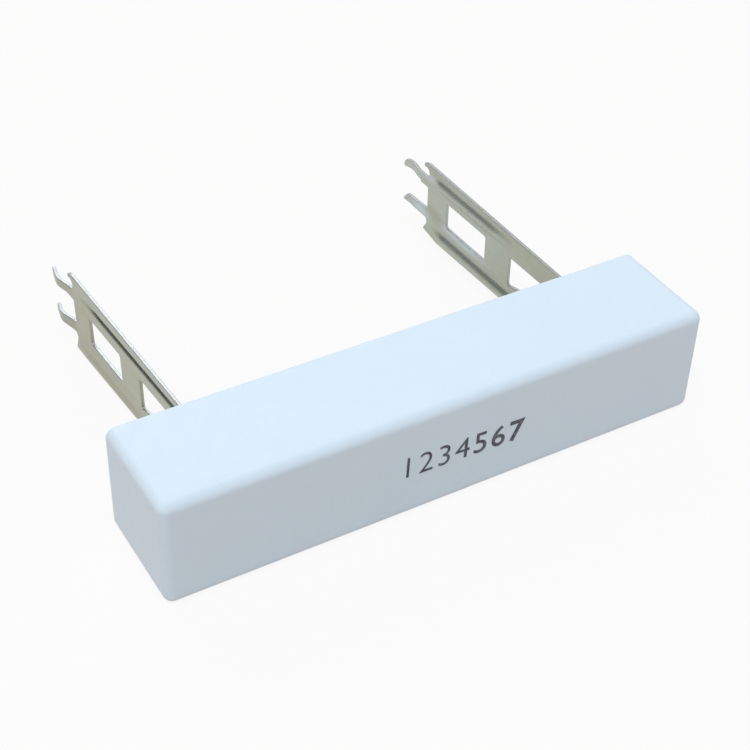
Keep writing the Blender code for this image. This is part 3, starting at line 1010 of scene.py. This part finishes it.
def sealedFinish(name, kind):
    look = sealedLook
    own = look[kind]
    material, tree = newFinish(name, {"Metallic": own["metallic"]})
    grain = noise(tree, *own["grain"], own["stretch"])
    clouds = noise(tree, own["grain"][0] / look["cloudSpan"], look["cloudDetail"])
    body = tinted(tree, own["pale"], grain, look["grainShare"], own["deep"])
    body = tinted(tree, body, clouds, look["cloudShare"], own["deep"])
    roughness = ranged(tree, grain, *own["roughness"])
    return dressed(material, body, roughness, (clouds, *look["cloudBump"]), (grain, *look["grainBump"]))


def wear(piece, slot, *looks):
    # the looks go into the slots that the faces already point to
    while len(piece.data.materials) < len(looks):
        piece.data.materials.append(None)
    for index, look in enumerate(looks):
        piece.data.materials[index] = look
    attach(piece, "root")


wear(caseShell, "case_ceramic", firedCeramic())
wear(cement, "cement", pouredCement())
wear(digits, "case_ceramic", stampInk())
wear(brackets["left"], "tinned_steel", tinnedSteel("leftTinned", "left"), cutSteelPaintedLight("leftCutPaintedHighlight", "left"))
wear(brackets["right"], "tinned_steel", tinnedSteel("rightTinned", "right"), cutSteelPaintedLight("rightCutPaintedShade", "right"))
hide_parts("ceramic_case")
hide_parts("cement_fill")
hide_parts("bracket_left")
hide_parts("bracket_right")

sealedFinishes = {
    "ceramic_core": sealedFinish("coreCeramic", "core"),
    "resistance_wire": sealedFinish("resistanceAlloy", "wire"),
    "end_cap_left": sealedFinish("leftCapSteel", "cap"),
    "end_cap_right": sealedFinish("rightCapSteel", "cap"),
}
for name, look in sealedFinishes.items():
    for place in frame["nodes"][name].material_slots:
        place.material = look
print("dressed every piece")


# Floor, light and camera

stageValues = {
    "floorSize": 3.0,
    "floorColour": (0.70, 0.64, 0.59),
    "floorRoughness": 0.9,
    "cardRoughness": 1.0,
    "floorGlow": 0.90,  # how far the floor that is seen goes towards white
    "skyDiffuse": (0.45, 0.43, 0.42),
    "skySeen": (0.98, 0.98, 0.98),
}

# a blue-grey card behind and a dark one to the left of it, seen only in reflections, as direction,
# distance, size and colour
cardValues = {
    "backCard": ((-0.30, 0.80, 0.45), 0.42, (0.18, 0.34), (0.30, 0.40, 0.55)),
    "sideCard": ((-0.74, 0.66, 0.27), 0.42, (0.36, 0.38), (0.13, 0.17, 0.27)),
}

# direction, distance, size, power, colour, and whether the lamp shows in reflections
lampValues = {
    "backBox": ((0.05, 0.80, 0.59), 2.0, (1.5, 0.97), 8.0, (1.0, 1.0, 1.0), True),
    "topBox": ((-0.23, -0.20, 0.95), 2.0, (1.17, 1.17), 30.0, (0.735, 0.90, 1.0), False),
}


def directlySeen(tree):
    # 1 where the camera, a mirror image or a clear piece looks, 0 for the light that falls on things
    ray = addNode(tree, "LightPath", {})
    seen = ray.outputs["Is Camera Ray"]
    for kind in ("Is Glossy Ray", "Is Transmission Ray"):
        either = addNode(tree, "Math", {0: seen, 1: ray.outputs[kind]}, operation="MAXIMUM")
        seen = either.outputs["Value"]
    return seen


def mixedInto(tree, output, share, first, second):
    # mixes two shaders into the surface of the output
    mix = addNode(tree, "MixShader", {"Fac": share, 1: first, 2: second})
    setInputs(tree, tree.nodes[output], {"Surface": mix.outputs["Shader"]})


def mattPaint(name, colour, roughness):
    return newFinish(name, {"Base Color": colour, "Roughness": roughness, "Specular IOR Level": 0.0})


def makeFloor():
    values = stageValues
    letGo()
    bpy.ops.mesh.primitive_plane_add(size=values["floorSize"], location=(0, 0, 0))
    floor = bpy.context.active_object
    floor.name = "paleFloor"
    material, tree = mattPaint("paleFloor", values["floorColour"], values["floorRoughness"])
    share = addNode(tree, "Math", {0: directlySeen(tree), 1: values["floorGlow"]}, operation="MULTIPLY")
    painted = tree.nodes["Principled BSDF"].outputs["BSDF"]
    glowing = addNode(tree, "Emission", {}).outputs["Emission"]
    mixedInto(tree, "Material Output", share.outputs["Value"], painted, glowing)
    floor.data.materials.append(material)


def makeCards():
    for name, (direction, distance, size, colour) in cardValues.items():
        away = Vector(direction).normalized()
        letGo()
        bpy.ops.mesh.primitive_plane_add(size=1, location=away * distance)
        card = bpy.context.active_object
        card.name = name
        card.rotation_euler = (-away).to_track_quat("Z", "Y").to_euler()
        card.scale = (*size, 1)
        card.data.materials.append(mattPaint(name, colour, stageValues["cardRoughness"])[0])
        card.visible_camera = False
        card.visible_diffuse = False
        card.visible_shadow = False


def makeLamps():
    for name, (direction, distance, size, power, colour, mirrored) in lampValues.items():
        away = Vector(direction).normalized()
        lamp = bpy.data.lights.new(name, "AREA")
        lamp.shape = "RECTANGLE"
        lamp.size, lamp.size_y = size
        lamp.energy = power
        lamp.color = colour
        softbox = bpy.data.objects.new(name, lamp)
        softbox.location = away * distance
        softbox.rotation_euler = away.to_track_quat("Z", "Y").to_euler()
        softbox.visible_glossy = mirrored
        bpy.context.scene.collection.objects.link(softbox)


def makeSky():
    # lights the object softly and looks white where it is seen
    world = bpy.data.worlds.new("plainSky")
    world.use_nodes = True
    bpy.context.scene.world = world
    tree = world.node_tree
    soft = tree.nodes["Background"]
    setInputs(tree, soft, {"Color": stageValues["skyDiffuse"]})
    white = addNode(tree, "Background", {"Color": stageValues["skySeen"]})
    lit, shown = soft.outputs["Background"], white.outputs["Background"]
    mixedInto(tree, "World Output", directlySeen(tree), lit, shown)


cameraValues = {
    "place": (-0.07006, -0.10675, 0.11566),
    "target": (-0.00045, 0.00801, 0.00645),
    "roll": 1.83,  # degrees
    "lens": 78.04,  # millimetres, as the sensor
    "sensor": 36.0,
    "clipStart": 0.005,
    "clipEnd": 10,
}


def makeCamera():
    values = cameraValues
    view = bpy.data.cameras.new("photoView")
    view.lens = values["lens"]
    view.sensor_width = values["sensor"]
    view.sensor_fit = "HORIZONTAL"
    view.clip_start = values["clipStart"]
    view.clip_end = values["clipEnd"]
    camera = bpy.data.objects.new("photoView", view)
    bpy.context.scene.collection.objects.link(camera)
    place = Vector(values["place"])
    aim = (Vector(values["target"]) - place).to_track_quat("-Z", "Y").to_matrix()
    roll = Matrix.Rotation(math.radians(values["roll"]), 3, "Z")
    camera.location = place
    camera.rotation_euler = (aim @ roll).to_euler()
    bpy.context.scene.camera = camera


makeFloor()
makeCards()
makeLamps()
makeSky()
makeCamera()
bpy.context.scene.view_settings.view_transform = "Standard"
print("set the floor, the lights and the camera")
